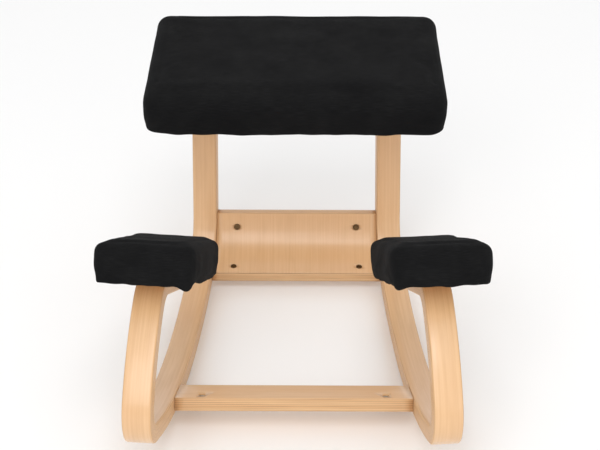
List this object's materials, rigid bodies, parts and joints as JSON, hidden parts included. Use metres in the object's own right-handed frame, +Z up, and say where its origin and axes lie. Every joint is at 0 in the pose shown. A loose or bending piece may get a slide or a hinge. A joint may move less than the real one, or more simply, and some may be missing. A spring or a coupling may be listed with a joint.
{
  "type": "kneeling chair",
  "caption": "Rocking kneeling chair: bent-laminated wooden side frames on curved runners, a curved back plate and a front crossbar, with a padded black seat and sloping knee pads.",
  "frame": {"origin": "on the floor, under the middle of the chair's footprint", "axes": "+Z up; -Y the way the sitter faces, so the knee pads are at -Y and the seat is at +Y; +X towards the chair's right-hand side in the front view"},
  "size_m": [0.5524, 0.7124, 0.4594],
  "materials": {
    "birch_lacquered": "satin",
    "plywood_board": "matte",
    "beech_dowel": "matte",
    "bronzed_steel": "satin",
    "zinc_steel": "satin",
    "cushion_foam": "matte",
    "black_fabric": "matte"
  },
  "bodies": {
    "root": {"back_plate": "birch_lacquered", "crossbar": "birch_lacquered", "crossbar_bolt_left": "bronzed_steel", "crossbar_bolt_right": "bronzed_steel", "crossbar_dowel_left": "beech_dowel", "crossbar_dowel_right": "beech_dowel", "crossbar_nut_left": "bronzed_steel", "crossbar_nut_right": "bronzed_steel", "knee_bolt_front_left": "zinc_steel", "knee_bolt_front_right": "zinc_steel", "knee_bolt_rear_left": "zinc_steel", "knee_bolt_rear_right": "zinc_steel", "knee_left_board": "plywood_board", "knee_left_cover": "black_fabric", "knee_left_foam": "cushion_foam", "knee_right_board": "plywood_board", "knee_right_cover": "black_fabric", "knee_right_foam": "cushion_foam", "knee_tee_nut_front_left": "zinc_steel", "knee_tee_nut_front_right": "zinc_steel", "knee_tee_nut_rear_left": "zinc_steel", "knee_tee_nut_rear_right": "zinc_steel", "plate_bolt_lower_left": "bronzed_steel", "plate_bolt_lower_right": "bronzed_steel", "plate_bolt_upper_left": "bronzed_steel", "plate_bolt_upper_right": "bronzed_steel", "plate_nut_lower_left": "bronzed_steel", "plate_nut_lower_right": "bronzed_steel", "plate_nut_upper_left": "bronzed_steel", "plate_nut_upper_right": "bronzed_steel", "seat_board": "plywood_board", "seat_bolt_front_left": "zinc_steel", "seat_bolt_front_right": "zinc_steel", "seat_bolt_rear_left": "zinc_steel", "seat_bolt_rear_right": "zinc_steel", "seat_cover": "black_fabric", "seat_foam": "cushion_foam", "seat_tee_nut_front_left": "zinc_steel", "seat_tee_nut_front_right": "zinc_steel", "seat_tee_nut_rear_left": "zinc_steel", "seat_tee_nut_rear_right": "zinc_steel", "side_frame_left": "birch_lacquered", "side_frame_right": "birch_lacquered"}
  },
  "joints": []
}
